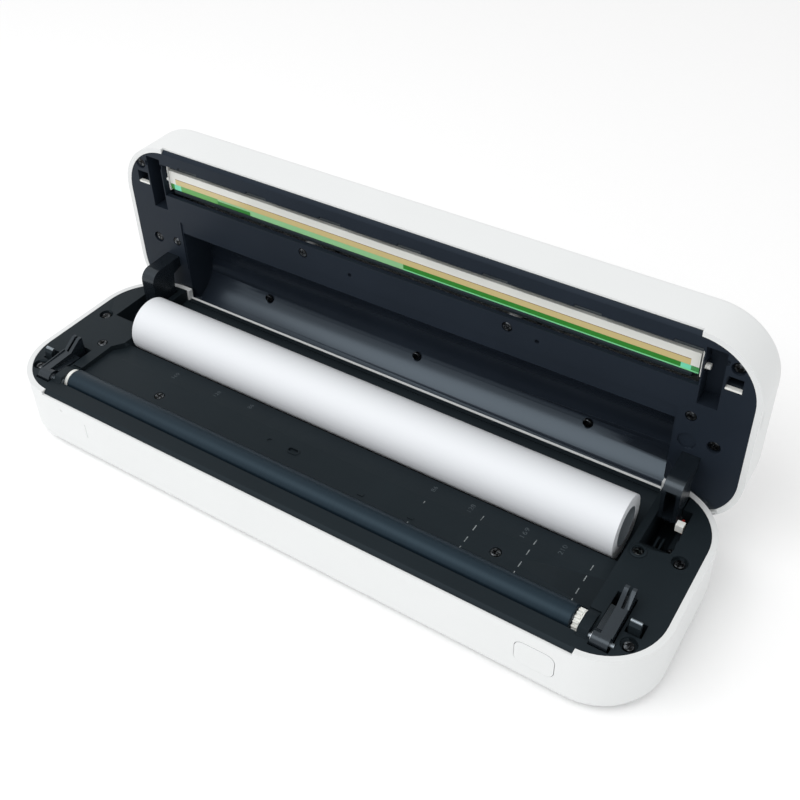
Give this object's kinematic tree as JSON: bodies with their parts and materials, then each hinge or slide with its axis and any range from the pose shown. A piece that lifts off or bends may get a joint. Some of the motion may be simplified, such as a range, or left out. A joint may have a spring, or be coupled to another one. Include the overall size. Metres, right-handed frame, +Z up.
{
  "type": "portable thermal printer",
  "caption": "Slim A4 portable thermal printer, lid open on gooseneck hinges, with paper trough and roll, rubber platen, fork levers, power button and a print head in the lid.",
  "frame": {"origin": "middle of the base shell's flat underside", "axes": "+X to the right along the paper's width, seen from the front, +Y from the front to the back, +Z up"},
  "size_m": [0.2762, 0.1056, 0.0962],
  "materials": {
    "white_shell": "fine moulded texture",
    "dark_plastic": "fine moulded texture, bluish charcoal",
    "rubber": "smooth ground rubber",
    "screw_steel": "blackened",
    "bright_steel": "bright plated",
    "white_acetal": "moulded",
    "brass": "turned",
    "red_insulation": "smooth",
    "clear_pipe": "smoked, translucent",
    "circuit_board": "solder mask",
    "battery_wrap": "shrink film",
    "thermal_paper": "smooth coated",
    "head_aluminium": "dark anodised",
    "head_ceramic": "glazed"
  },
  "bodies": {
    "base": {"base_shell": "white_shell", "base_deck": "dark_plastic", "rubber_feet": "rubber", "deck_screws": "screw_steel", "floor_screws": "screw_steel", "paper_sensor": "dark_plastic", "platen_bush_left": "white_acetal", "platen_bush_right": "white_acetal", "platen_clip_left": "dark_plastic", "platen_clip_right": "dark_plastic", "idler_pin": "bright_steel", "motor_body": "bright_steel", "motor_bracket": "bright_steel", "lever_pins": "bright_steel", "lever_springs": "bright_steel", "latch_posts": "dark_plastic", "latch_pins": "bright_steel", "hinge_pins": "bright_steel", "lead_connector": "white_acetal", "lead_wire": "red_insulation", "bay_screws": "screw_steel", "tact_switch": "dark_plastic", "button_board": "circuit_board", "status_light": "clear_pipe", "light_board": "circuit_board", "charging_port": "bright_steel", "port_board": "circuit_board", "main_board": "circuit_board", "battery_pack": "battery_wrap"},
    "lid": {"lid_shell": "white_shell", "lid_plate": "dark_plastic", "lid_screws": "screw_steel", "panel_screws": "screw_steel", "room_screws": "screw_steel", "lid_keepers": "white_acetal", "hinge_arm_left": "dark_plastic", "hinge_arm_right": "dark_plastic", "head_springs": "bright_steel"},
    "print_head": {"head_bar": "head_aluminium", "head_ceramic": "head_ceramic", "head_board": "circuit_board", "head_cover": "dark_plastic", "head_ends": "white_acetal", "head_pins": "white_acetal"},
    "platen": {"platen_rubber": "rubber", "platen_shaft": "bright_steel", "platen_gear": "white_acetal"},
    "idler": {"idler_gear": "white_acetal"},
    "rotor": {"motor_pinion": "brass", "motor_shaft": "bright_steel"},
    "lever_left": {"guide_lever_left": "dark_plastic"},
    "lever_right": {"guide_lever_right": "dark_plastic"},
    "button": {"power_button": "white_shell"},
    "roll": {"paper_roll": "thermal_paper"}
  },
  "joints": [
    {"name": "lid_hinge", "type": "hinge", "parent": "base", "child": "lid", "pos_m": [0, 0.0343, 0.0186], "axis": [-1, 0, 0], "range_deg": [-89, 0]},
    {"name": "head_press", "type": "slide", "parent": "lid", "child": "print_head", "axis": [0, 0.9998, 0.0175], "range_m": [0, 0.0008], "stiffness_N_per_m": 2500, "springref_m": -0.002},
    {"name": "platen_spin", "type": "hinge", "parent": "base", "child": "platen", "pos_m": [0, -0.0283, 0.0237], "axis": [1, 0, 0], "continuous": true},
    {"name": "idler_spin", "type": "hinge", "parent": "base", "child": "idler", "pos_m": [0.1107, -0.0283, 0.0142], "axis": [1, 0, 0], "continuous": true},
    {"name": "motor_spin", "type": "hinge", "parent": "base", "child": "rotor", "pos_m": [0.1107, -0.01985, 0.0111], "axis": [1, 0, 0], "continuous": true},
    {"name": "lever_left_press", "type": "hinge", "parent": "base", "child": "lever_left", "pos_m": [-0.12, -0.0328, 0.0258], "axis": [-1, 0, 0], "range_deg": [0, 8], "stiffness_Nm_per_rad": 0.02, "springref_deg": -8.59},
    {"name": "lever_right_press", "type": "hinge", "parent": "base", "child": "lever_right", "pos_m": [0.12, -0.0328, 0.0258], "axis": [-1, 0, 0], "range_deg": [0, 8], "stiffness_Nm_per_rad": 0.02, "springref_deg": -8.59},
    {"name": "power_button_press", "type": "slide", "parent": "base", "child": "button", "axis": [0, 1, 0], "range_m": [0, 0.0006], "stiffness_N_per_m": 400, "springref_m": -0.001},
    {"name": "roll_lift", "type": "slide", "parent": "base", "child": "roll", "axis": [0, 0, 1], "range_m": [0, 0.08]}
  ],
  "couplings": [
    {"joint": "idler_spin", "follows": "platen_spin", "ratio": -0.72727},
    {"joint": "motor_spin", "follows": "platen_spin", "ratio": 1.1429}
  ]
}
